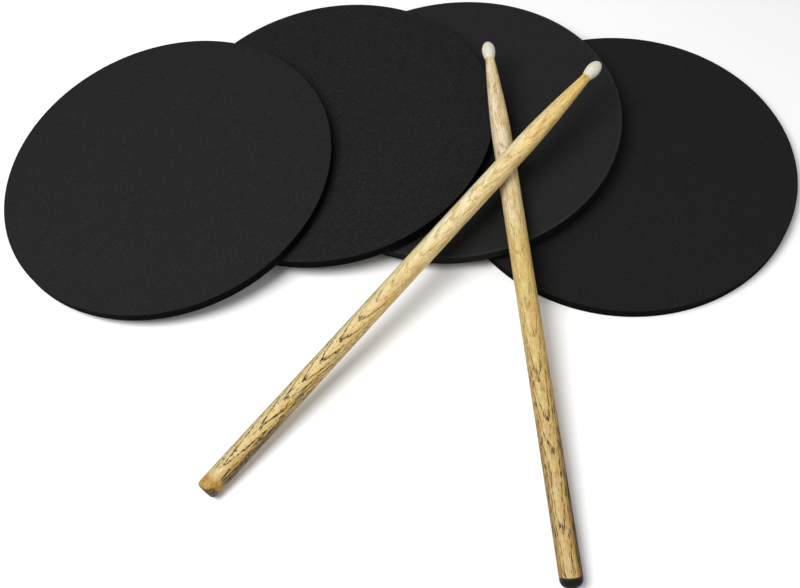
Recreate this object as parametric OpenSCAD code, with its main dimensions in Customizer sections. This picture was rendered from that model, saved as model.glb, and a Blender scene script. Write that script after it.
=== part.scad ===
// Set of round drum mute pads fanned out in an overlapping row, with a crossed
// pair of nylon-tipped drumsticks resting on them. Each pad is a disc cut from a
// bonded laminate: a cloth striking face, a foam rubber core and a grip base.
// Frame: millimetres, +Z up, ground at z = 0, origin under the middle of the
// set's outline. +X runs along the row of pads and the sticks' butts point to -Y.

/* [Pads] */
// Diameter of every pad
pad_d = 254; // [200:1:300]
// Total thickness of a pad
pad_t = 8; // [6:0.1:10]
// Thickness of the cloth striking face
cloth_t = 0.8; // [0.5:0.1:1.2]
// Thickness of the grip base skin
base_t = 1.0; // [0.6:0.1:1.5]
// Radius on the upper edge of the cloth face
cloth_edge_r = 0.4; // [0.1:0.1:0.4]

/* [Fan] */
// Middle of the topmost pad on the ground plan
pad_1_pos = [-168.5, 93.8]; // [-300:0.1:300]
// Middle of the second pad on the ground plan
pad_2_pos = [-44.3, 118.7]; // [-300:0.1:300]
// Middle of the third pad on the ground plan
pad_3_pos = [50.1, 111.2]; // [-300:0.1:300]
// Middle of the lowest pad, which lies flat
pad_4_pos = [168.7, 58.0]; // [-300:0.1:300]
// Lean of the topmost pad, whose low rim is on the ground
pad_1_lean = 5.25; // [0:0.01:12]
// Lean of the second pad
pad_2_lean = 5.19; // [0:0.01:12]
// Lean of the third pad
pad_3_lean = 3.68; // [0:0.01:12]
// Compass direction that the topmost pad rises toward, from +X
pad_1_uphill = 1.21; // [-45:0.01:45]
// Compass direction that the second pad rises toward
pad_2_uphill = -15.03; // [-45:0.01:45]
// Compass direction that the third pad rises toward
pad_3_uphill = -19.72; // [-45:0.01:45]

/* [Sticks] */
// Overall length of a stick, butt to tip
stick_l = 406; // [380:1:430]
// Diameter of the shaft
stick_d = 14.4; // [12:0.1:16]
// Length of the shaft that narrows toward the tip
taper_l = 72.5; // [50:0.5:100]
// Fullness of the taper: 1 is a straight cone and more is rounder
taper_bulge = 1.6; // [1:0.1:3]
// Diameter of the neck, where the wood meets the tip
neck_d = 6.6; // [5.5:0.1:8]
// Rounding of the upper stick's butt: how far it reaches in and along the stick
upper_butt = [2.8, 2.8]; // [1:0.1:7]
// Rounding of the lower stick's butt, which is nearly a full dome
lower_butt = [6.6, 5.6]; // [1:0.1:7]

/* [Tips] */
// Length of the nylon tip
tip_l = 15.5; // [12:0.1:20]
// Largest diameter of the nylon tip
tip_d = 10; // [8:0.1:12]
// Diameter of the wooden tenon inside the tip
tenon_d = 4.8; // [3:0.1:5.5]
// Length of the wooden tenon inside the tip
tenon_l = 9.5; // [6:0.1:11]
// Bevel on the end of the tenon
tenon_bevel = 0.5; // [0.2:0.1:1]

/* [Rest poses] */
// Middle of the upper stick's butt on the ground plan
upper_butt_pos = [-141.8, -160.3]; // [-300:0.1:300]
// Compass direction of the upper stick from its butt, from +X
upper_heading = 41.99; // [20:0.01:70]
// Slope of the upper stick above the ground
upper_slope = 7.80; // [0:0.01:12]
// Middle of the lower stick's butt on the ground plan
lower_butt_pos = [76.1, -245.8]; // [-300:0.1:300]
// Compass direction of the lower stick from its butt
lower_heading = 89.04; // [70:0.01:110]
// Slope of the lower stick above the ground
lower_slope = 5.25; // [0:0.01:12]

/* [Hidden] */
$fn = 96;

cloth_colour = [0.155, 0.155, 0.160];
core_colour = [0.075, 0.075, 0.080];
base_colour = [0.055, 0.055, 0.060];
wood_colour = [0.86, 0.74, 0.50];
nylon_colour = [0.90, 0.88, 0.84];

core_t = pad_t - cloth_t - base_t;
// Where the wooden shoulder ends and the nylon tip begins, along the stick
shoulder = stick_l - tip_l;
taper_from = shoulder - taper_l;
taper_steps = 24;
butt_steps = 8;
// Flat ring that the tip's skirt leaves proud of the neck
skirt_d = neck_d + 0.4;
// Distance from the tip's far end to its widest place
crown_l = tip_l * 0.52;
tip_steps = 10;

// ---- placing ------------------------------------------------------------

// Leans a disc that stands on z = 0 so that its low rim point stays on the
// ground and it rises toward one compass direction.
module lean_disc(pos, lean, uphill) {
    translate([pos[0], pos[1], pad_d / 2 * sin(lean)])
        rotate([0, 0, uphill])
            rotate([0, -lean, 0])
                children();
}

// Height of the middle of a sloping stick's butt when the rounded edge of the
// butt touches the ground. The edge is a quarter of an ellipse.
function butt_height(slope, butt) =
    (stick_d / 2 - butt[0]) * cos(slope)
    - butt[1] * sin(slope)
    + norm([butt[0] * cos(slope), butt[1] * sin(slope)]);

// Lays a stick, drawn along +Z from its butt, on the ground at a slope.
module lay_stick(pos, heading, slope, butt) {
    translate([pos[0], pos[1], butt_height(slope, butt)])
        rotate([0, 0, heading])
            rotate([0, 90 - slope, 0])
                children();
}

// ---- pad layers, each drawn flat with the pad's underside at z = 0 --------

module base_layer() {
    cylinder(h = base_t, d = pad_d, $fn = 180);
}

module core_layer() {
    translate([0, 0, base_t])
        cylinder(h = core_t, d = pad_d, $fn = 180);
}

// Quarter circle of points, turning from straight out to straight up
function quarter(centre_r, centre_z, r, steps) = [
    for (i = [0 : steps])
        [centre_r + r * cos(90 * i / steps), centre_z + r * sin(90 * i / steps)]
];

module cloth_layer() {
    outer = pad_d / 2;
    edge = quarter(outer - cloth_edge_r, cloth_t - cloth_edge_r, cloth_edge_r, 3);
    translate([0, 0, base_t + core_t])
        rotate_extrude($fn = 180)
            polygon(concat([[0, 0], [outer, 0]], edge, [[0, cloth_t]]));
}

// ---- stick, drawn along +Z with the middle of its butt at the origin -------

// Radius of the shaft at a share u of the taper
function taper_r(u) = stick_d / 2 - (stick_d - neck_d) / 2 * pow(u, taper_bulge);

// Rounded edge of the butt, from the flat end out to the shaft's side
function butt_edge(butt) = [
    for (i = [0 : butt_steps])
        let (a = 90 * i / butt_steps)
            [stick_d / 2 - butt[0] * (1 - sin(a)), butt[1] * (1 - cos(a))]
];

function taper_side() = [
    for (i = [0 : taper_steps])
        [taper_r(i / taper_steps), taper_from + taper_l * i / taper_steps]
];

module shaft(butt) {
    tenon_end = shoulder + tenon_l;
    tenon = [
        [tenon_d / 2, shoulder],
        [tenon_d / 2, tenon_end - tenon_bevel],
        [tenon_d / 2 - tenon_bevel, tenon_end],
        [0, tenon_end]
    ];
    rotate_extrude()
        polygon(concat([[0, 0]], butt_edge(butt), taper_side(), tenon));
}

// Height and radius of the tip's outside: an egg whose widest place is a
// little nearer the neck than the middle
function skirt_side() = [
    for (i = [0 : tip_steps])
        let (u = i / tip_steps)
            [
                skirt_d / 2 + (tip_d - skirt_d) / 2 * sin(90 * u),
                shoulder + (tip_l - crown_l) * u
            ]
];

function crown_side() = [
    for (i = [1 : tip_steps])
        let (a = 90 * i / tip_steps)
            [tip_d / 2 * cos(a), stick_l - crown_l + crown_l * sin(a)]
];

module tip() {
    difference() {
        rotate_extrude()
            polygon(concat([[0, shoulder]], skirt_side(), crown_side()));
        tenon_socket();
    }
}

// Blind socket in the tip, which the tenon fills
module tenon_socket() {
    rotate_extrude()
        polygon([
            [0, shoulder - 1],
            [tenon_d / 2, shoulder - 1],
            [tenon_d / 2, shoulder + tenon_l - tenon_bevel],
            [tenon_d / 2 - tenon_bevel, shoulder + tenon_l],
            [0, shoulder + tenon_l]
        ]);
}

// ---- sub-parts ------------------------------------------------------------

module place_1() { lean_disc(pad_1_pos, pad_1_lean, pad_1_uphill) children(); }
module place_2() { lean_disc(pad_2_pos, pad_2_lean, pad_2_uphill) children(); }
module place_3() { lean_disc(pad_3_pos, pad_3_lean, pad_3_uphill) children(); }
module place_4() { lean_disc(pad_4_pos, 0, 0) children(); }

module pad_1_cloth() { color(cloth_colour) place_1() cloth_layer(); }
module pad_1_core() { color(core_colour) place_1() core_layer(); }
module pad_1_base() { color(base_colour) place_1() base_layer(); }

module pad_2_cloth() { color(cloth_colour) place_2() cloth_layer(); }
module pad_2_core() { color(core_colour) place_2() core_layer(); }
module pad_2_base() { color(base_colour) place_2() base_layer(); }

module pad_3_cloth() { color(cloth_colour) place_3() cloth_layer(); }
module pad_3_core() { color(core_colour) place_3() core_layer(); }
module pad_3_base() { color(base_colour) place_3() base_layer(); }

module pad_4_cloth() { color(cloth_colour) place_4() cloth_layer(); }
module pad_4_core() { color(core_colour) place_4() core_layer(); }
module pad_4_base() { color(base_colour) place_4() base_layer(); }

module upper_stick() {
    lay_stick(upper_butt_pos, upper_heading, upper_slope, upper_butt) children();
}

module lower_stick() {
    lay_stick(lower_butt_pos, lower_heading, lower_slope, lower_butt) children();
}

module stick_a_shaft() { color(wood_colour) upper_stick() shaft(upper_butt); }
module stick_a_tip() { color(nylon_colour) upper_stick() tip(); }
module stick_b_shaft() { color(wood_colour) lower_stick() shaft(lower_butt); }
module stick_b_tip() { color(nylon_colour) lower_stick() tip(); }

pad_1_cloth();
pad_1_core();
pad_1_base();
pad_2_cloth();
pad_2_core();
pad_2_base();
pad_3_cloth();
pad_3_core();
pad_3_base();
pad_4_cloth();
pad_4_core();
pad_4_base();
stick_a_shaft();
stick_a_tip();
stick_b_shaft();
stick_b_tip();
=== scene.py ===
"""Looks for the drum pad set: cloth-faced foam rubber pads, wooden sticks and nylon tips."""

import math

import bmesh
import bpy
import numpy as np
from mathutils import Matrix, Vector, noise


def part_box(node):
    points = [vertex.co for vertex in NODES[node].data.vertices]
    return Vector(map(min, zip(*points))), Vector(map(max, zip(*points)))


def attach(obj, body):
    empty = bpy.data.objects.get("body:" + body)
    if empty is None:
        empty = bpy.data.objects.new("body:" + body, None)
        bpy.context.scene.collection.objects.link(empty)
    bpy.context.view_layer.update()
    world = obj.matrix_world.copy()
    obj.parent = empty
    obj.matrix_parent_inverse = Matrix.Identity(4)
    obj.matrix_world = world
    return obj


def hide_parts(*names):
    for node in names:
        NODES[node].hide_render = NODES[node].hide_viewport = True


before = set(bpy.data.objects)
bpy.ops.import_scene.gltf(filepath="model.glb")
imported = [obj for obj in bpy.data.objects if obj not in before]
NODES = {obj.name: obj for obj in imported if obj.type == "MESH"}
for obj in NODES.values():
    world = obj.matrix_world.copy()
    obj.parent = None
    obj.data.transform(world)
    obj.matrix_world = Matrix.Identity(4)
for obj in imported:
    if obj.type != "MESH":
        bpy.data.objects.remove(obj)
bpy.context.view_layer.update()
MM = 0.001
# two CAD vertices that are this close along a direction count as level
LEVEL = 0.01 * MM


# ---- reading the CAD ------------------------------------------------------


def points_of(node):
    """Every vertex of a CAD node, in the row frame."""
    return np.array([v.co for v in NODES[node].data.vertices], float)


def placed(origin, x, y, z):
    """The matrix whose columns are these three directions and this origin."""
    m = Matrix.Identity(4)
    for i, column in enumerate((x, y, z, origin)):
        for j in range(3):
            m[j][i] = column[j]
    return m


def circle_through(points, side, other):
    """The middle and radius of the circle that these points lie on. side and other span its plane."""
    start = points.mean(0)
    flat = (points - start) @ np.array([side, other]).T
    rows = np.column_stack([2 * flat, np.ones(len(flat))])
    a, b, c = np.linalg.lstsq(rows, (flat**2).sum(1), rcond=None)[0]
    return start + a * np.array(side) + b * np.array(other), math.sqrt(c + a * a + b * b)


def disc_place(k):
    """The matrix from pad k's own frame, where its underside is at z = 0, and the pad's radius."""
    down = Vector()
    for face in NODES[f"pad_{k}_base"].data.polygons:
        if face.normal.z < -0.9:
            down += face.normal * face.area
    up = -down.normalized()
    p = points_of(f"pad_{k}_base")
    low = p[p @ up < (p @ up).min() + LEVEL]
    side = Vector((0, 1, 0)).cross(up).normalized()
    other = up.cross(side)
    middle, radius = circle_through(low, side, other)
    return placed(middle, side, other, up), radius


def thickness(node):
    """The thickness of a layer of the lowest pad, which lies flat."""
    low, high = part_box(node)
    return high.z - low.z


def lowest_ring(points, direction):
    """The middle of the ring of points that lies lowest along a direction."""
    heights = points @ direction
    ring = points[heights < heights.min() + LEVEL]
    return (ring.max(0) + ring.min(0)) / 2


def stick_place(shaft, tip):
    """The matrix from a stick's own frame: +X runs from butt to tip, and +Z is as upright as it goes."""
    p, q = points_of(shaft), points_of(tip)
    rough = np.linalg.svd(p - p.mean(0), full_matrices=False)[2][0]
    rough = rough if (q.mean(0) - p.mean(0)) @ rough > 0 else -rough
    butt = lowest_ring(p, rough)
    along = lowest_ring(p, -rough) - butt
    along /= np.linalg.norm(along)
    left = np.cross([0.0, 0.0, 1.0], along)
    left /= np.linalg.norm(left)
    return placed(butt, along, left, np.cross(along, left))


def stations(node, place):
    """A turned piece's outline from its CAD vertices, as rows of (distance along the stick, radius)."""
    local = np.array(place.inverted())
    p = points_of(node) @ local[:3, :3].T + local[:3, 3]
    r = np.hypot(p[:, 1], p[:, 2])
    keys = np.round(p[:, 0] / LEVEL).astype(int)
    return np.array([(p[keys == key, 0].mean(), r[keys == key].max()) for key in np.unique(keys)])


def outside(rows):
    """The bulging outline over these rows: it leaves out a socket's rows, which lie inside."""
    hull = []
    for row in rows:
        while len(hull) > 1 and np.cross(hull[-1] - hull[-2], row - hull[-2]) >= 0:
            hull.pop()
        hull.append(row)
    return np.array(hull)


# ---- mesh making -----------------------------------------------------------


def smoothed(rows, per_step):
    """Points on a Catmull-Rom curve through these rows."""
    rows = np.array(rows, float)
    ext = np.vstack([2 * rows[0] - rows[1], rows, 2 * rows[-1] - rows[-2]])
    out = []
    for i in range(1, len(ext) - 2):
        p0, p1, p2, p3 = ext[i - 1 : i + 3]
        for j in range(per_step):
            t = j / per_step
            slope = (p2 - p0) * t
            bend = (2 * p0 - 5 * p1 + 4 * p2 - p3) * t**2
            twist = (3 * p1 - p0 - 3 * p2 + p3) * t**3
            out.append(0.5 * (2 * p1 + slope + bend + twist))
    return np.array(out + [rows[-1]])


def revolved(name, rows, segments, along, shift=None):
    """A closed mesh of revolution from rows of (radius, height) that start and end on the axis.

    along is the axis, "x" or "z". shift, if given, takes each point and returns where it moves to."""
    bm = bmesh.new()
    turn = [2 * math.pi * i / segments for i in range(segments)]

    def point(r, h, a):
        v = Vector((h, r * math.cos(a), r * math.sin(a)))
        if along == "z":
            v = Vector((r * math.cos(a), r * math.sin(a), h))
        return shift(v) if shift else v

    rings = []
    for r, h in rows:
        if r < 1e-7:
            rings.append([bm.verts.new(point(0.0, h, 0.0))])
        else:
            rings.append([bm.verts.new(point(r, h, a)) for a in turn])
    for low, high in zip(rings, rings[1:]):
        for i in range(segments):
            j = (i + 1) % segments
            if len(low) == 1:
                bm.faces.new((low[0], high[i], high[j]))
            elif len(high) == 1:
                bm.faces.new((low[i], high[0], low[j]))
            else:
                bm.faces.new((low[i], high[i], high[j], low[j]))
    bmesh.ops.recalc_face_normals(bm, faces=bm.faces)
    mesh = bpy.data.meshes.new(name)
    bm.to_mesh(mesh)
    bm.free()
    return mesh


def added(name, data):
    """A new object in the scene."""
    o = bpy.data.objects.new(name, data)
    bpy.context.scene.collection.objects.link(o)
    return o


def piece(mesh, place, materials, body, node, smooth_under=40):
    """An object from a mesh that stands for a CAD node and rides on its body.

    The mesh is turned the way the piece lies, so that the object only has to be moved. It is smooth but
    for edges sharper than smooth_under degrees."""
    mesh.transform(place.to_3x3().to_4x4())
    for face in mesh.polygons:
        face.use_smooth = True
    mesh.set_sharp_from_angle(angle=math.radians(smooth_under))
    for material in materials:
        mesh.materials.append(material)
    o = added(mesh.name, mesh)
    o.matrix_world = Matrix.Translation(place.translation)
    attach(o, body)
    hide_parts(node)
    return o


# ---- material making --------------------------------------------------------


class Graph:
    """A material and short ways to add nodes to it. Positions are in millimetres."""

    def __init__(self, name, turn=None):
        """turn is the matrix of the frame that positions are wanted in, if it isn't the object's own."""
        self.material = bpy.data.materials.new(name)
        self.material.use_nodes = True
        self.tree = self.material.node_tree
        self.shader = self.tree.nodes["Principled BSDF"]
        coords = self.add("ShaderNodeTexCoord")
        scaled = self.add("ShaderNodeVectorMath", operation="SCALE")
        self.link(coords.outputs["Object"], scaled.inputs[0])
        scaled.inputs["Scale"].default_value = 1 / MM
        self.mm = scaled.outputs[0]
        if turn is not None:
            self.mm = self.joined(*[self.dot(self.mm, turn.to_3x3().col[i]) for i in range(3)])

    def add(self, kind, **settings):
        node = self.tree.nodes.new(kind)
        for key, value in settings.items():
            setattr(node, key, value)
        return node

    def link(self, a, b):
        """Feeds socket b with another socket, a number, a vector or a colour."""
        if isinstance(a, (int, float)):
            b.default_value = a
        elif isinstance(a, tuple):
            b.default_value = (*a, 1.0) if len(a) == 3 and b.type == "RGBA" else a
        else:
            self.tree.links.new(a, b)

    def dot(self, vector, direction):
        node = self.add("ShaderNodeVectorMath", operation="DOT_PRODUCT")
        self.link(vector, node.inputs[0])
        node.inputs[1].default_value = direction
        return node.outputs["Value"]

    def parts(self):
        """The position's three numbers."""
        node = self.add("ShaderNodeSeparateXYZ")
        self.link(self.mm, node.inputs[0])
        return node.outputs[0], node.outputs[1], node.outputs[2]

    def joined(self, x, y, z):
        node = self.add("ShaderNodeCombineXYZ")
        for value, socket in zip((x, y, z), node.inputs):
            self.link(value, socket)
        return node.outputs[0]

    def math(self, operation, a, b=0.0):
        node = self.add("ShaderNodeMath", operation=operation)
        for value, socket in zip((a, b), node.inputs):
            self.link(value, socket)
        return node.outputs[0]

    def total(self, result, *others):
        for value in others:
            result = self.math("ADD", result, value)
        return result

    def product(self, result, *others):
        for value in others:
            result = self.math("MULTIPLY", result, value)
        return result

    def wave(self, value, length):
        """A sine wave of this length."""
        return self.math("SINE", self.product(value, 2 * math.pi / length))

    def between(self, value, low, high, to_low=0.0, to_high=1.0):
        """A smooth step from to_low to to_high while the value goes from low to high."""
        node = self.add("ShaderNodeMapRange", interpolation_type="SMOOTHSTEP")
        for v, socket in zip((value, low, high, to_low, to_high), node.inputs):
            self.link(v, socket)
        return node.outputs[0]

    def ramp(self, value, *stops):
        """A scale of numbers or colours: stops are (position, value)."""
        node = self.add("ShaderNodeValToRGB")
        self.link(value, node.inputs[0])
        scale = node.color_ramp
        while len(scale.elements) < len(stops):
            scale.elements.new(0.5)
        for element, (at, v) in zip(scale.elements, stops):
            element.position = at
            v = v if isinstance(v, tuple) else (v, v, v)
            element.color = (*v, 1.0)
        return node.outputs[0]

    def stretched(self, size, offset):
        """The position in units of size, one number a direction."""
        node = self.add("ShaderNodeVectorMath", operation="MULTIPLY_ADD")
        self.link(self.mm, node.inputs[0])
        node.inputs[1].default_value = tuple(1 / v for v in size)
        node.inputs[2].default_value = offset
        return node.outputs[0]

    def noise(self, size, detail=2.0, rough=0.5, offset=(0.0, 0.0, 0.0)):
        """Noise from 0 to 1 whose blobs are about size millimetres across."""
        size = size if isinstance(size, tuple) else (size, size, size)
        node = self.add("ShaderNodeTexNoise")
        self.link(self.stretched(size, offset), node.inputs["Vector"])
        node.inputs["Scale"].default_value = 1.0
        node.inputs["Detail"].default_value = detail
        node.inputs["Roughness"].default_value = rough
        return node.outputs["Fac"]

    def cells(self, size, offset):
        """The distance from the middle of cells that are about size millimetres across."""
        node = self.add("ShaderNodeTexVoronoi")
        self.link(self.stretched((size, size, size), offset), node.inputs["Vector"])
        node.inputs["Scale"].default_value = 1.0
        return node.outputs["Distance"]

    def mix(self, share, a, b, how="MIX"):
        node = self.add("ShaderNodeMix", data_type="RGBA", blend_type=how)
        self.link(share, node.inputs[0])
        self.link(a, node.inputs[6])
        self.link(b, node.inputs[7])
        return node.outputs[2]

    def tinted(self, share, colour, tint):
        """A colour multiplied by a tint, where share is 1."""
        return self.mix(share, colour, tint, "MULTIPLY")

    def lit(self, colour, light):
        """A colour made lighter or darker by one number."""
        return self.tinted(1.0, colour, self.joined(light, light, light))

    def bump(self, height, depth_mm, strength):
        """height is 0 to 1, and depth_mm is how far 1 stands over 0."""
        node = self.add("ShaderNodeBump")
        node.inputs["Strength"].default_value = strength
        node.inputs["Distance"].default_value = depth_mm * MM
        self.link(height, node.inputs["Height"])
        self.link(node.outputs[0], self.shader.inputs["Normal"])

    def finish(self, colour, roughness, specular):
        self.link(colour, self.shader.inputs["Base Color"])
        self.link(roughness, self.shader.inputs["Roughness"])
        self.shader.inputs["Specular IOR Level"].default_value = specular
        return self.material


def grey(v):
    return (v, v, v)


# ---- the pads' materials ------------------------------------------------------

CLOTH_GLOSS = 0.22
# width and height of a stitch of the cloth's knit, and the pitch of the grip rubber's waves, in mm
STITCH = (0.62, 0.48)
WAFFLE = 1.8


def cloth_material(name, tone, speckle, seed, specular=CLOTH_GLOSS):
    """Fine-grained black cloth: a short matte nap over a tight knit, with faint clouding."""
    g = Graph(name)
    shift = (seed * 3.1, seed * 7.7, 0.0)
    grain = g.noise(0.9, 3.0, 0.65, shift)
    flecks = g.noise(1.5, 2.0, 0.6, shift)
    clouds = g.noise(22.0, 3.0, 0.55, shift)
    x, y, _ = g.parts()
    knit = g.product(g.wave(x, STITCH[0]), g.wave(y, STITCH[1]))
    light = g.between(grain, 0.3, 0.7, 1 - speckle, 1 + speckle)
    light = g.total(light, g.between(flecks, 0.58, 0.75, 0.0, 2.2 * speckle))
    light = g.product(light, g.between(clouds, 0.3, 0.7, 0.94, 1.06))
    g.bump(g.total(g.product(grain, 0.8), g.product(knit, 0.12)), 0.16, 0.55)
    return g.finish(g.lit(grey(tone), light), g.between(clouds, 0.3, 0.7, 0.86, 0.94), specular)


def foam_material(name, tone, specular, seed):
    """The cut edge of closed-cell foam rubber: small open cells, darker toward their hollows as painted
    shade.
    """
    g = Graph(name)
    cell = g.cells(0.75, (seed, seed, seed))
    grain = g.noise(0.4, 2.0, 0.6)
    patches = g.noise((9.0, 9.0, 3.0))
    # darker toward each cell's hollow, where the bump is lowest: painted shade
    hollow = g.between(cell, 0.1, 0.55, 0.45, 1.1)
    light = g.product(hollow, g.between(patches, 0.3, 0.7, 0.85, 1.15))
    g.bump(g.total(g.product(cell, 0.7), g.product(grain, 0.3)), 0.3, 0.7)
    return g.finish(g.lit(grey(tone), light), 0.93, specular)


def grip_material(name, tone, specular):
    """Grip rubber: a fine waffle of raised squares, with painted shade in the grooves between them."""
    g = Graph(name)
    x, y, _ = g.parts()
    waffle = g.product(g.wave(x, WAFFLE), g.wave(y, WAFFLE))
    raised = g.between(g.math("ABSOLUTE", waffle), 0.1, 0.6)
    dust = g.noise(6.0, 3.0, 0.6)
    # lighter on the raised squares and darker in the grooves: painted light and shade
    light = g.between(raised, 0.0, 1.0, 0.75, 1.15)
    light = g.product(light, g.between(dust, 0.3, 0.7, 0.85, 1.2))
    g.bump(raised, 0.35, 0.8)
    return g.finish(g.lit(grey(tone), light), g.between(dust, 0.3, 0.7, 0.6, 0.75), specular)


# ---- the sticks' materials ----------------------------------------------------
# In a stick's own frame x is the distance from its butt, and y is the distance to the left of its middle
# line: about 7.2 mm along its left-hand side and -7.2 mm along its right-hand side. look is a stick's entry
# in STICKS.

# how far along the stick the rings take to reach their steady spacing, in millimetres
RUN_OUT = 51.0
PALE_FLECK = (0.80, 0.73, 0.52)
FINE_GRAIN = (0.46, 0.3, 0.13)
EARLY_WOOD = (0.47, 0.27, 0.095)
OPEN_PORE = (0.035, 0.019, 0.007)
WARM_SHADE_TINT = (1.0, 0.86, 0.56)
COOL_SHEEN_TINT = (0.84, 0.93, 1.0)
LEFT_TINT = (0.42, 0.29, 0.13)
RIGHT_SHADE_TINT = (0.36, 0.25, 0.13)
EDGE_SHADE_TINT = (0.16, 0.11, 0.07)
DARK_SPOT = (0.2, 0.11, 0.03)
LIGHT_SPOT = (0.72, 0.46, 0.11)


def growth_rings(g, look, x, y, z):
    """The place within a growth ring, from 0 to 1.

    The rings come out as nested V shapes that point to the butt, closer together toward the tip."""
    crest = math.radians(look["crest"])
    out = g.total(g.product(z, math.cos(crest)), g.product(y, -math.sin(crest)))
    wander = g.noise((48.0, 9.0, 9.0), offset=(look["seed"], 0.0, 0.0))
    ripple = g.noise((6.0, 2.0, 2.0), offset=(look["seed"], 3.0, 0.0))
    slow = g.product(g.math("EXPONENT", g.math("DIVIDE", x, -RUN_OUT)), RUN_OUT)
    rings = g.total(
        g.math("DIVIDE", g.total(x, slow), look["ring_gap"]),
        g.math("DIVIDE", out, look["ring"]),
        g.product(wander, look["wander"]),
        g.product(ripple, 0.55),
        look["phase"],
    )
    return g.math("FRACT", rings)


def open_pores(g, look, x, y, early):
    """Dark dashes along the grain, most of them in the early wood of each ring."""
    dashes = g.noise(look["dash"], offset=(look["seed"] * 1.7, 0.0, 5.0))
    crowd = g.noise((13.0, 2.6, 2.6), offset=(0.0, look["seed"], 0.0))
    chance = g.total(
        g.product(dashes, 1.5),
        g.product(early, look["lines"]),
        g.product(crowd, 0.4),
        g.between(x, *look["fade"], look["open"], -0.1),
        g.between(y, -2.5, -6.5, 0.0, look["right_pores"]),
        g.between(y, 3.0, 6.8, 0.0, look["left_pores"]),
        g.between(x, look["sealed"] * 0.7, look["sealed"], -0.5, 0.0),
    )
    return g.between(chance, *look["cut"])


def dark_streaks(g, look, x, y):
    """Long dark streaks of the grain along the right-hand side of the handled half; gathered on that side,
    they also paint its shade.
    """
    streaks = g.total(
        g.noise((13.0, 0.68, 0.68), 1.0, offset=(look["seed"], 4.0, look["seed"] * 0.7)),
        # the streaks gather on the right-hand side, where they also paint its shade
        g.between(y, -2.2, -5.6, -0.16, 0.045),
        g.between(x, *look["streaks"], 0.0, -0.4),
        g.between(x, look["sealed"] * 0.5, look["sealed"] * 0.8, -0.3, 0.0),
    )
    return g.between(streaks, 0.594, 0.63)


def bare_wood(g, look, x, y, patch, length):
    """The colour between the pores: a slow change from butt to tip, patches, flecks, a warm tint that
    paints the shade on the right-hand side and a cool tint that paints the pale cast of sheen on the
    left-hand side.
    """
    seed = look["seed"]
    fleck = g.noise((4.5, 0.9, 0.9), 2.0, 0.55, (seed, 1.0, seed))
    mottle = g.noise((2.6, 0.8, 0.8), 2.0, 0.6, (seed, 2.0, 6.0))
    colour = g.ramp(g.math("DIVIDE", x, length), *look["tones"])
    colour = g.mix(g.between(patch, 0.44, 0.68, 0.0, 0.75), colour, look["patch"])
    colour = g.mix(g.between(fleck, 0.52, 0.7, 0.0, 0.4), colour, look["patch"])
    colour = g.mix(g.between(fleck, 0.46, 0.3, 0.0, 0.3), colour, PALE_FLECK)
    # the right-hand side, away from the light, is tinted warmer and darker: painted shade; the left-hand
    # side is tinted cooler: painted sheen
    colour = g.tinted(g.between(y, 4.0, -6.5, 0.0, 0.75), colour, WARM_SHADE_TINT)
    colour = g.tinted(g.between(y, -1.0, 5.0, 0.0, look["sheen_cooling"]), colour, COOL_SHEEN_TINT)
    return g.lit(colour, g.between(mottle, 0.32, 0.68, 0.88, 1.07))


def darker_butt_sides(g, look, x, y, colour):
    """Toward the butt both sides are darker: the right-hand one, away from the light, with painted shade
    that is darkest at its edge, and the left-hand one along its edge.
    """
    left = g.between(y, 3.4, 7.0, 0.0, look["left_darkening"])
    left = g.product(left, g.between(x, *look["left_fade"], 1.0, 0.3))
    # the right-hand side, away from the light, and its edge are darkened: painted shade
    right = g.between(y, -2.2, -5.4, 0.0, look["right_shade"])
    right = g.product(right, g.between(x, *look["right_fade"], 1.0, 0.0))
    edge = g.product(g.between(y, -5.5, -6.8), g.between(x, *look["edge_fade"], 0.9, 0.0))
    colour = g.tinted(left, colour, LEFT_TINT)
    colour = g.tinted(right, colour, RIGHT_SHADE_TINT)
    return g.tinted(edge, colour, EDGE_SHADE_TINT)


def sealed_butt(g, look, x, y, patch, colour):
    """A spotted stain along the first millimetres, then a darker, blotched end of wear that reaches further
    along the right-hand side, where it paints the shade.
    """
    seed = look["seed"]
    spots = g.noise((2.6, 1.5, 1.5), 3.0, 0.6, (seed, seed, 9.0))
    edge = g.total(x, g.product(patch, look["stain_wave"]))
    edge = g.math("SUBTRACT", edge, g.product(y, y, look["stain_cup"]))
    stain = g.between(edge, *look["stain"], look["stain_share"], 0.0)
    dark = g.product(stain, g.between(spots, 0.5, 0.66, 0.0, look["spots"]))
    light = g.product(stain, g.between(spots, 0.48, 0.34, 0.0, look["spots"]))
    colour = g.mix(stain, colour, look["stain_colour"])
    colour = g.mix(dark, colour, DARK_SPOT)
    colour = g.mix(light, colour, LIGHT_SPOT)
    if look["end_wear_and_shade"]:
        blotch = g.noise((3.0, 1.8, 1.8), 3.0, 0.65, (seed, 7.0, seed))
        # the darker end reaches further along the right-hand side: painted shade
        wear_and_painted_light = g.total(x, g.product(blotch, 11.0), g.product(y, 0.95))
        colour = g.mix(g.between(wear_and_painted_light, *look["end_wear_and_shade"], 0.92, 0.0), colour, look["end_colour"])
    return g.mix(g.between(x, 0.3, 1.7, 0.8, 0.0), colour, look["end_colour"])


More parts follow.
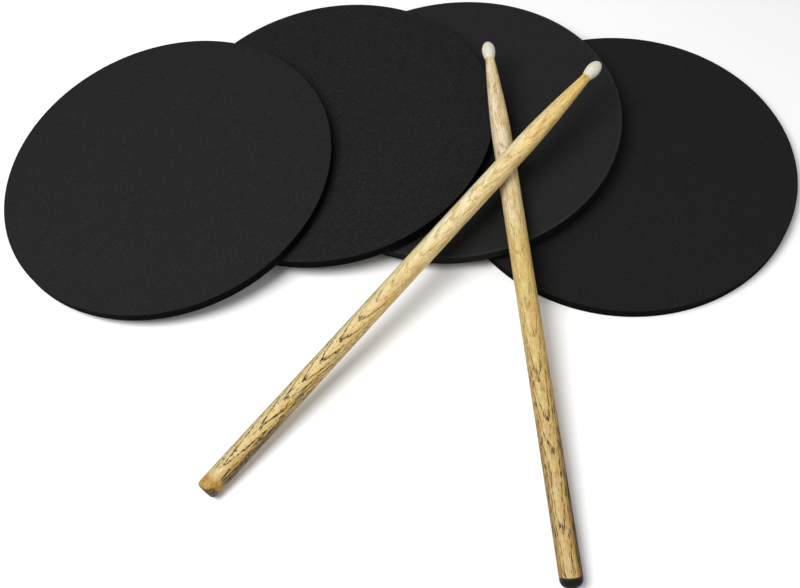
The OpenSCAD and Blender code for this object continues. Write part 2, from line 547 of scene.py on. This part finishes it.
def wood_material(name, look, turn, length):
    """Pale ring-porous wood with open pores that are darker in the handled half, sides darker toward the
    butt, the right-hand one as painted shade, and its butt sealed.
    """
    g = Graph(name, turn)
    seed = look["seed"]
    x, y, z = g.parts()
    ring = growth_rings(g, look, x, y, z)
    early = g.ramp(ring, (0.0, 0.0), (0.05, 1.0), (0.2, 0.75), (0.36, 0.0), (1.0, 0.0))
    pores = g.math("MAXIMUM", open_pores(g, look, x, y, early), dark_streaks(g, look, x, y))
    fine = g.noise((9.0, 0.3, 0.3), offset=(0.0, seed * 2.3, 1.0))
    patch = g.noise((17.0, 3.4, 3.4), 3.0, 0.6, (seed, seed, 2.0))
    colour = bare_wood(g, look, x, y, patch, length)
    colour = darker_butt_sides(g, look, x, y, colour)
    colour = g.mix(g.product(early, g.between(x, *look["fade"], 0.5, 0.22)), colour, EARLY_WOOD)
    colour = g.mix(g.between(fine, 0.5, 0.68, 0.0, 0.3), colour, FINE_GRAIN)
    dirt = g.product(pores, g.between(x, *look["fade"], look["pore_dirt"], 0.35))
    colour = g.mix(dirt, colour, OPEN_PORE)
    colour = sealed_butt(g, look, x, y, patch, colour)
    g.bump(g.math("SUBTRACT", g.product(fine, 0.25), pores), 0.2, 0.6)
    return g.finish(colour, g.between(pores, 0.0, 1.0, 0.5, 0.85), look["gloss"])


def seal_material(name, colour):
    """The dark sealer on a butt, dulled by wear."""
    g = Graph(name)
    wear_and_painted_light = g.noise(1.5, 3.0, 0.6)
    g.bump(wear_and_painted_light, 0.08, 0.5)
    return g.finish(g.mix(g.between(wear_and_painted_light, 0.4, 0.7, 0.0, 0.3), colour, grey(0.015)), 0.65, 0.1)


def nylon_material():
    """Off-white moulded nylon, a little waxy, with faint flow marks."""
    g = Graph("nylon")
    flow = g.noise((2.2, 5.0, 5.0), 3.0, 0.55)
    fine = g.noise(0.35)
    colour = g.mix(g.between(flow, 0.35, 0.65), (0.62, 0.58, 0.465), (0.67, 0.635, 0.53))
    g.bump(g.total(g.product(flow, 0.7), g.product(fine, 0.3)), 0.05, 0.5)
    g.shader.inputs["Subsurface Weight"].default_value = 0.25
    g.shader.inputs["Subsurface Radius"].default_value = (1.6 * MM, 1.3 * MM, 1.0 * MM)
    g.shader.inputs["Subsurface Scale"].default_value = 1.0
    return g.finish(colour, g.between(fine, 0.3, 0.7, 0.38, 0.5), 0.45)


# ---- the pads -----------------------------------------------------------------

RADIUS = disc_place(4)[1]
BASE_T = thickness("pad_4_base")
CORE_T = thickness("pad_4_core")
CLOTH_T = thickness("pad_4_cloth")
CORE_TOP = BASE_T + CORE_T
# how long the waves are in the cloth's top, and in the cut side: round the rim, up it, and the slow ones
TOP_WAVE = 45 * MM
CUT_ROUND, CUT_UP, CUT_SLOW = 1.6 * MM, 1.1 * MM, 20 * MM
# tone and speckle are the cloth's. round is how wide and how deep its upper edge is rounded, in mm, and the
# entry after round is how much lighter that edge is, which paints a highlight along it. foam and shine are
# the tone and the specular level of the foam; its tone is set darker still to paint the shade on the pads'
# sides, and lighter on pad 3 to paint light on its side.
PADS = {
    1: {"tone": 0.0083, "speckle": 0.50, "round": (0.35, 0.35), "wear_and_painted_light": 1.0, "foam": 0.0022, "shine": 0.04},
    2: {"tone": 0.0069, "speckle": 0.85, "round": (0.35, 0.35), "wear_and_painted_light": 1.0, "foam": 0.0022, "shine": 0.04},
    3: {"tone": 0.0104, "speckle": 0.32, "round": (1.9, 0.75), "wear_and_painted_light": 1.25, "foam": 0.005, "shine": 0.12},
    4: {"tone": 0.0064, "speckle": 0.48, "round": (0.35, 0.35), "wear_and_painted_light": 1.0, "foam": 0.0026, "shine": 0.05},
}


def cloth_rows(round_w, round_d):
    """Outline of the cloth face: flat below, its cut edge, a rounded upper edge and a fine top."""
    low, high = CORE_TOP, CORE_TOP + CLOTH_T
    rows = [(r * RADIUS, low) for r in (0.0, 0.35, 0.7, 0.96)]
    rows.append((RADIUS - 0.05 * MM, low))
    edge_steps, top_steps = 6, 34
    for i in range(edge_steps + 1):
        a = math.radians(90 * i / edge_steps)
        rows.append((RADIUS - round_w * MM * (1 - math.cos(a)), high - round_d * MM * (1 - math.sin(a))))
    inner = RADIUS - round_w * MM
    rows += [(inner * math.sqrt(1 - i / top_steps), high) for i in range(1, top_steps)]
    rows.append((0.0, high))
    return rows


def core_rows():
    """Outline of the foam core: its cut side draws in slightly between the two skins."""
    low, high = BASE_T, CORE_TOP
    rows = [(0.0, low), (0.5 * RADIUS, low)]
    steps = 12
    for i in range(steps + 1):
        u = i / steps
        rows.append((RADIUS - (0.08 + 0.26 * math.sin(math.pi * u) ** 0.7) * MM, low + CORE_T * u))
    rows += [(0.5 * RADIUS, high), (0.0, high)]
    return rows


def base_rows():
    """Outline of the grip base: its lower edge is rounded."""
    return [
        (0.0, 0.0),
        (0.5 * RADIUS, 0.0),
        (RADIUS - 0.35 * MM, 0.0),
        (RADIUS - 0.12 * MM, 0.12 * MM),
        (RADIUS - 0.04 * MM, 0.35 * MM),
        (RADIUS - 0.06 * MM, BASE_T),
        (0.5 * RADIUS, BASE_T),
        (0.0, BASE_T),
    ]


def ruffled(seed, top, side):
    """Moves points inward and down a little: a wavy top, and a side that the cutter left uneven.

    top and side are about how far, in millimetres."""

    def shift(v):
        r = math.hypot(v.x, v.y)
        if v.z > CORE_TOP + 0.3 * MM:
            wave = noise.noise(Vector((v.x / TOP_WAVE, v.y / TOP_WAVE, seed)))
            v.z -= top * MM * (0.5 + 0.5 * wave)
        if r > RADIUS * 0.98:
            rough = noise.noise(Vector((v.x / CUT_ROUND, v.y / CUT_ROUND, v.z / CUT_UP + seed)))
            slow = noise.noise(Vector((v.x / CUT_SLOW, v.y / CUT_SLOW, seed)))
            inward = side * MM * (0.75 + 0.5 * rough + 0.25 * slow)
            v.x -= v.x / r * inward
            v.y -= v.y / r * inward
        return v

    return shift


def cloth_zones(mesh, round_w):
    """Gives a cloth face's top its first material, the flatter part of its rounded edge the second, a
    lighter copy that paints a highlight there, and its side and the steeper part of that edge the third, a
    darker one that paints the shade there.
    """
    for face in mesh.polygons:
        middle = face.center
        from_rim = RADIUS - math.hypot(middle.x, middle.y)
        if from_rim < (round_w + 0.1) * MM and middle.z > CORE_TOP + 0.1 * MM:
            face.material_index = 1 if face.normal.z > 0.75 else 2


def grip_zones(mesh):
    """Gives the cut side of a grip base its second material, a darker copy of the grip that paints the
    shade there.
    """
    for face in mesh.polygons:
        face.material_index = 1 if abs(face.normal.z) < 0.8 else 0


def make_pad(k, look, grips, cut):
    """Pad k's three layers. grips are its base's two materials, the second a darker copy for its side that
    paints the shade there, and cut is that of its cloth's side, a darker copy of the cloth that paints the
    shade there too.
    """
    body = f"pad_{k}"
    place = disc_place(k)[0]
    mesh = revolved(f"{body}_grip_base", base_rows(), 360, "z", ruffled(k + 40, 0.0, 0.03))
    grip_zones(mesh)
    piece(mesh, place, grips, body, f"{body}_base")
    mesh = revolved(f"{body}_foam_core", core_rows(), 720, "z", ruffled(k + 20, 0.0, 0.12))
    # the foam's tone is its own dark one, set darker still to paint the shade on the pad's side; pad 3's is
    # set lighter, painting light on its side
    foam = foam_material(f"foam_{k}", look["foam"], look["shine"], k * 1.3)
    core = piece(mesh, place, [foam], body, f"{body}_core")
    mesh = revolved(f"{body}_cloth_face", cloth_rows(*look["round"]), 540, "z", ruffled(k, 0.12, 0.05))
    cloth_zones(mesh, look["round"][0])
    tone, speckle, wear_and_painted_light, seed = look["tone"], look["speckle"], look["wear_and_painted_light"], k * 2.0
    cloths = [
        cloth_material(f"cloth_{k}", tone, speckle, seed),
        # the rounded rim: a lighter copy of the cloth, which paints a highlight along it
        cloth_material(f"cloth_{k}_rim", tone * wear_and_painted_light, speckle, seed, CLOTH_GLOSS * wear_and_painted_light),
        # the side: a darker copy of the cloth, painted shade
        cut,
    ]
    face = piece(mesh, place, cloths, body, f"{body}_cloth", smooth_under=60)


# ---- the sticks ---------------------------------------------------------------

# Lengths are in millimetres, and a pair is where something starts and where it ends, along the stick.
#   crest: where the V shapes point, in degrees to the right of straight up
#   ring, ring_gap, phase, wander: the rings' thickness, their spacing along the stick, shift and waviness
#   seed: a number that makes the stick's noise its own
#   tones, patch: the wood's colour at shares of the stick's length, and that of its patches
#   sheen_cooling: how much cooler the left-hand side is, which paints the pale cast of its sheen
#   dash, lines, cut: a pore's length and widths, how far pores gather in early wood, and where they show
#   open, right_pores, left_pores: how many more pores the handled half, the right and the left side have
#   fade, pore_dirt, streaks: where the handled half ends, how dark its pores are, where its streaks end
#   left_darkening, right_shade: how dark the handled half's sides are; the right-hand side's darkening is
#       painted shade
#   left_fade, right_fade, edge_fade: where the left side, the right side and its edge turn lighter again
#   sealed: how far the sealer keeps the pores closed
#   stain, stain_wave, stain_cup: where the stain at the butt ends, and how wavy and hollow its edge is
#   stain_share, stain_colour, spots: the stain's strength and colour, and the strength of its spots
#   end_wear_and_shade, end_colour: where the darker end, if any, ends, and the butt's colour; that end
#       reaches further along the right-hand side as painted shade
#   seal: how far the dark sealer reaches
#   gloss: the wood's specular level
STICKS = {
    "a": {
        "crest": 10.0, "ring": 1.45, "ring_gap": 15.5, "phase": 0.75, "wander": 1.1, "seed": 4.0,
        "tones": (
            (0.0, (0.48, 0.35, 0.15)), (0.035, (0.54, 0.44, 0.225)), (0.06, (0.55, 0.44, 0.195)),
            (0.15, (0.595, 0.485, 0.22)), (0.3, (0.64, 0.53, 0.27)), (0.45, (0.70, 0.59, 0.325)),
            (0.6, (0.785, 0.71, 0.49)), (0.75, (0.80, 0.68, 0.38)), (0.9, (0.80, 0.63, 0.28)),
            (1.0, (0.68, 0.41, 0.09)),
        ),
        "patch": (0.56, 0.36, 0.085), "sheen_cooling": 0.8,
        "dash": (2.9, 0.58, 0.58), "lines": 0.34, "cut": (1.165, 1.2),
        "open": 0.0, "right_pores": 0.06, "left_pores": 0.04,
        "fade": (110.0, 200.0), "pore_dirt": 0.98, "streaks": (85.0, 140.0),
        "left_darkening": 0.75, "left_fade": (130.0, 220.0),
        "right_shade": 0.3, "right_fade": (12.0, 62.0), "edge_fade": (50.0, 90.0),
        "sealed": 17.0,
        "stain": (10.5, 15.5), "stain_wave": 7.0, "stain_cup": 0.0, "stain_share": 0.93,
        "stain_colour": (0.335, 0.18, 0.014), "spots": 0.55,
        "end_wear_and_shade": (3.4, 6.6), "end_colour": (0.03, 0.022, 0.012), "seal": 0.0,
        "gloss": 0.4,
    },
    "b": {
        "crest": -6.0, "ring": 1.5, "ring_gap": 24.0, "phase": 0.2, "wander": 2.3, "seed": 23.0,
        "tones": (
            (0.0, (0.49, 0.35, 0.145)), (0.35, (0.57, 0.435, 0.172)), (0.55, (0.605, 0.485, 0.192)),
            (0.72, (0.72, 0.65, 0.485)), (1.0, (0.71, 0.61, 0.38)),
        ),
        "patch": (0.46, 0.28, 0.08), "sheen_cooling": 0.0,
        "dash": (5.0, 0.42, 0.42), "lines": 0.27, "cut": (1.175, 1.21),
        "open": 0.02, "right_pores": 0.09, "left_pores": 0.12,
        "fade": (110.0, 220.0), "pore_dirt": 0.92, "streaks": (100.0, 150.0),
        "left_darkening": 0.65, "left_fade": (60.0, 130.0),
        "right_shade": 0.9, "right_fade": (50.0, 105.0), "edge_fade": (50.0, 100.0),
        "sealed": 6.0,
        "stain": (4.2, 5.2), "stain_wave": 0.0, "stain_cup": 0.036, "stain_share": 1.0,
        "stain_colour": (0.011, 0.009, 0.0068), "spots": 0.0,
        "end_wear_and_shade": None, "end_colour": (0.011, 0.009, 0.0068), "seal": 3.9,
        "gloss": 0.22,
    },
}
# how deep a shaft's out-of-round waves are, and how long they are along the stick and round it
TURNED_DEPTH, TURNED_ALONG, TURNED_ROUND = 0.05 * MM, 30 * MM, 6 * MM


def turned(seed):
    """Moves points inward by a few hundredths of a millimetre: a turned shaft is never perfectly round."""

    def shift(v):
        r = math.hypot(v.y, v.z)
        if r > 0.1 * MM:
            spot = Vector((v.x / TURNED_ALONG, v.y / TURNED_ROUND, v.z / TURNED_ROUND + seed))
            scale = 1 - TURNED_DEPTH * (0.5 + 0.5 * noise.noise(spot)) / r
            v.y *= scale
            v.z *= scale
        return v

    return shift


def seal_zone(mesh, seal):
    """Gives the faces of a shaft within seal millimetres of its butt their second material."""
    for face in mesh.polygons:
        face.material_index = 1 if face.center.x < seal * MM else 0


def shaft_rows(rows, shoulder):
    """Outline of a shaft: a rounded butt, the shaft and its taper, and the tenon that the tip hides."""
    full = max(row[1] for row in rows)
    edge = min(x for x, r in rows if r > full - 0.02 * MM)
    reach = full - rows[0][1]
    out = [(0.0, 0.0)]
    edge_steps = 18
    for i in range(edge_steps + 1):
        a = math.radians(90 * i / edge_steps)
        out.append((full - reach * (1 - math.sin(a)), edge * (1 - math.cos(a))))
    last = Vector((edge, full))
    for x, r in [row for row in rows if edge < row[0] <= shoulder + LEVEL]:
        steps = max(1, round((x - last.x) / (3 * MM)))
        for i in range(1, steps + 1):
            out.append((last.y + (r - last.y) * i / steps, last.x + (x - last.x) * i / steps))
        last = Vector((x, r))
    tenon = [row for row in rows if row[0] > shoulder + LEVEL]
    out.append((tenon[0][1], shoulder))
    out += [(r, x) for x, r in tenon]
    out.append((0.0, tenon[-1][0]))
    return out


def make_stick(s, look, nylon):
    """Stick s: its wooden shaft and its nylon tip."""
    body = f"stick_{s}"
    shaft_node, tip_node = f"{body}_shaft", f"{body}_tip"
    place = stick_place(shaft_node, tip_node)
    egg = outside(stations(tip_node, place))
    shoulder, length = egg[0][0], egg[-1][0]
    rows = shaft_rows(stations(shaft_node, place), shoulder)
    mesh = revolved(f"{body}_wooden_shaft", rows, 96, "x", turned(look["seed"]))
    wood = wood_material(f"wood_{s}", look, place, float(length / MM))
    seal = seal_material(f"seal_{s}", look["end_colour"])
    seal_zone(mesh, look["seal"])
    piece(mesh, place, [wood, seal], body, shaft_node, smooth_under=50)
    rows = [(r, x) for x, r in smoothed(egg, 3)]
    rows[-1] = (0.0, length)
    mesh = revolved(f"{body}_nylon_tip", [(0.0, shoulder)] + rows, 64, "x")
    piece(mesh, place, [nylon], body, tip_node)


# ---- floor, light and camera ---------------------------------------------------

FLOOR_REACH = 4.0
# the floor lies this far below the set, so that the two don't share a plane
FLOOR_DROP = 0.3 * MM
WORLD_STRENGTH = 0.28
# the lights point at this place
AIM = (0.0, 0.05, 0.0)
# the camera looks down along +Y by this pitch and is rolled by this much
PITCH = math.radians(59.30)
ROLL = math.radians(-6.53)
CAMERA_AT = (-0.00515, -0.38565, 0.60170)
SENSOR_MM, LENS_MM = 36.0, 44.64


def make_floor():
    """A plain pale floor."""
    bm = bmesh.new()
    bmesh.ops.create_grid(bm, x_segments=8, y_segments=8, size=FLOOR_REACH)
    mesh = bpy.data.meshes.new("floor")
    bm.to_mesh(mesh)
    bm.free()
    g = Graph("floor")
    tone = g.noise(400.0)
    mesh.materials.append(g.finish(g.mix(tone, grey(0.94), grey(0.96)), 0.8, 0.1))
    o = added("floor", mesh)
    o.location.z = -FLOOR_DROP


def area_light(name, at, size, watts):
    """A round studio light that points at the set."""
    data = bpy.data.lights.new(name, "AREA")
    data.shape = "DISK"
    data.size = size
    data.energy = watts
    o = added(name, data)
    o.location = at
    o.rotation_euler = (Vector(AIM) - Vector(at)).to_track_quat("-Z", "Y").to_euler()


def make_world():
    """Even white light from all around."""
    world = bpy.data.worlds.new("studio")
    world.use_nodes = True
    background = world.node_tree.nodes["Background"]
    background.inputs["Color"].default_value = (1.0, 1.0, 1.0, 1.0)
    background.inputs["Strength"].default_value = WORLD_STRENGTH
    bpy.context.scene.world = world


def make_camera():
    """The camera stands in front of the set and high above it, and looks down at it."""
    data = bpy.data.cameras.new("camera")
    data.sensor_fit = "HORIZONTAL"
    data.sensor_width = SENSOR_MM
    data.lens = LENS_MM
    data.clip_start = 0.01
    ahead = Vector((0.0, math.cos(PITCH), -math.sin(PITCH)))
    level = Vector((1.0, 0.0, 0.0))
    upward = level.cross(ahead)
    right = math.cos(ROLL) * level + math.sin(ROLL) * upward
    up = math.cos(ROLL) * upward - math.sin(ROLL) * level
    camera = added("camera", data)
    camera.matrix_world = placed(CAMERA_AT, right, up, -ahead)
    bpy.context.scene.camera = camera


# ---- the scene -----------------------------------------------------------------

# the second grip material and the cloth's side material are darker copies: painted shade on the pads' sides
grip_looks = [grip_material("grip", 0.006, 0.35), grip_material("shaded_grip_side", 0.0026, 0.05)]
shaded_cloth_side = cloth_material("shaded_cloth_side", 0.0024, 0.3, 9.0, 0.05)
for k, look in PADS.items():
    make_pad(k, look, grip_looks, shaded_cloth_side)
nylon_look = nylon_material()
for s, look in STICKS.items():
    make_stick(s, look, nylon_look)

make_floor()
area_light("key", (-0.49, -0.18, 1.06), 0.80, 15.2)
area_light("fill", (0.80, -0.35, 0.70), 0.90, 2.2)
make_world()
make_camera()
bpy.context.scene.view_settings.view_transform = "Standard"
